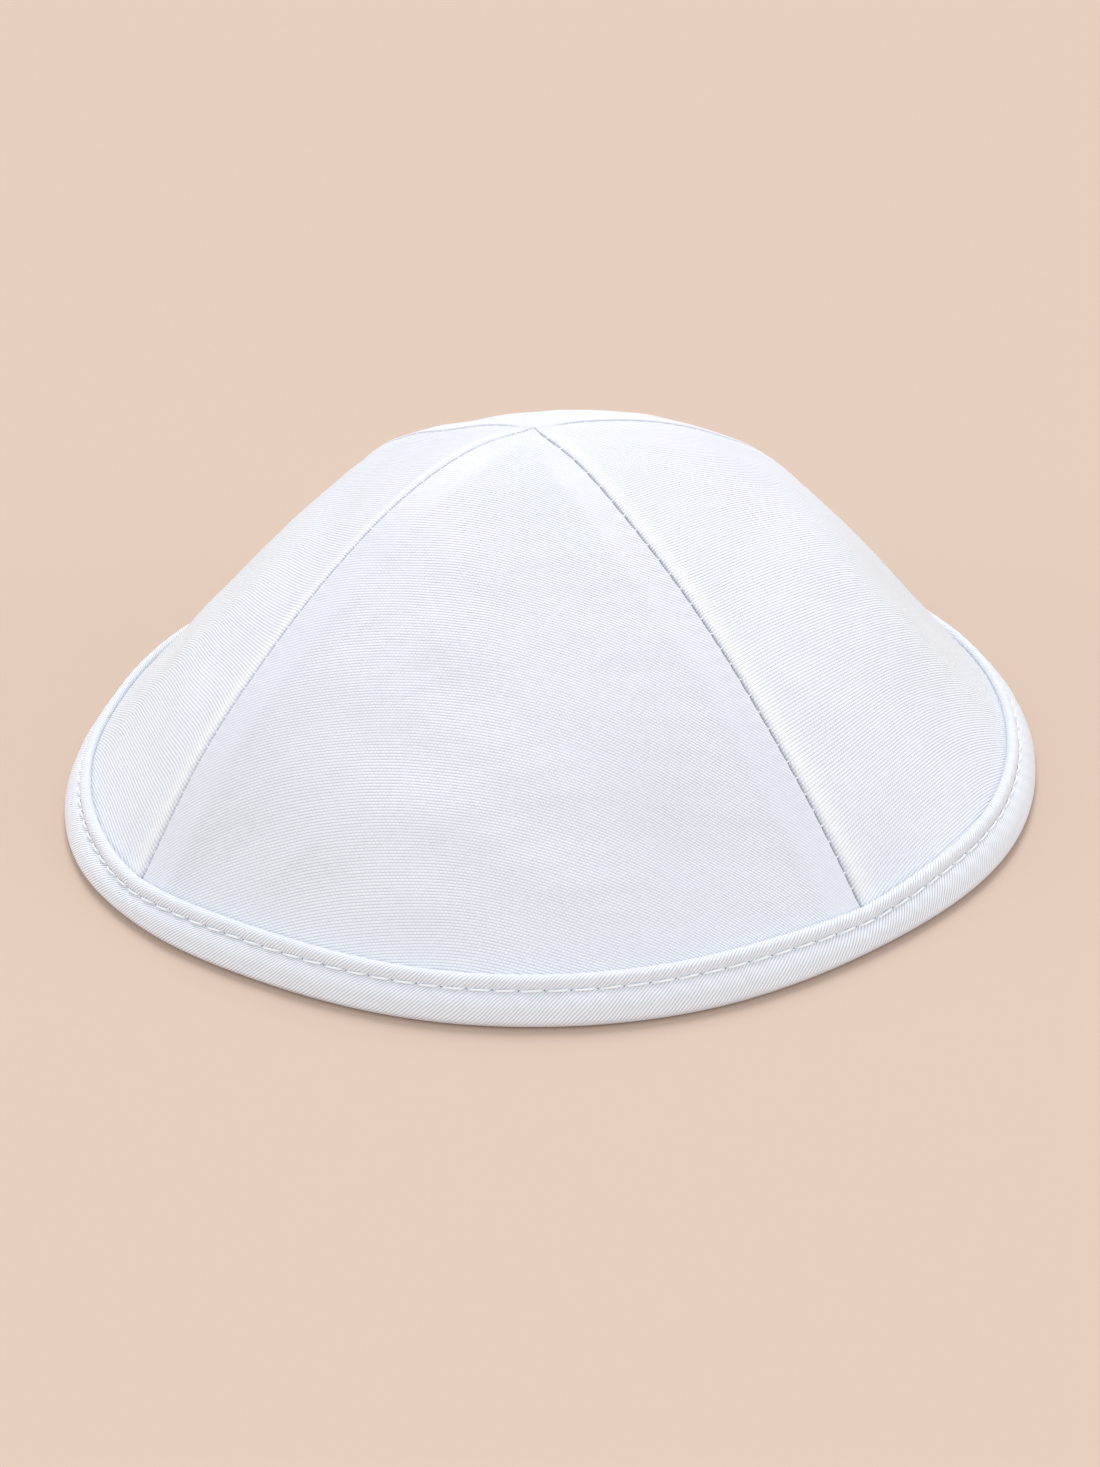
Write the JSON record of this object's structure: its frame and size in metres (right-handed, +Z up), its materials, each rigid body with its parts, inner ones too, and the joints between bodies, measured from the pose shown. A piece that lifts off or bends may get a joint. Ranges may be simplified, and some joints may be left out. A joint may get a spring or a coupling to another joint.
{
  "type": "kippah skullcap",
  "caption": "Round domed satin skullcap of sewn panels, with a folded bias tape binding stitched round its mouth, resting mouth down.",
  "frame": {"origin": "middle of the mouth, on the surface that the binding rests on", "axes": "+Z up through the crown, -Y towards the front panel, +X towards the right panel, as seen from the front"},
  "size_m": [0.1684, 0.1708, 0.0601],
  "materials": {
    "satin_panels": "white satin, fine ribbed weave",
    "satin_binding": "white satin bias tape, twill lines on the slant"
  },
  "bodies": {
    "root": {"panel_front": "satin_panels", "panel_right": "satin_panels", "panel_back": "satin_panels", "panel_left": "satin_panels", "rim_binding": "satin_binding"}
  },
  "joints": []
}
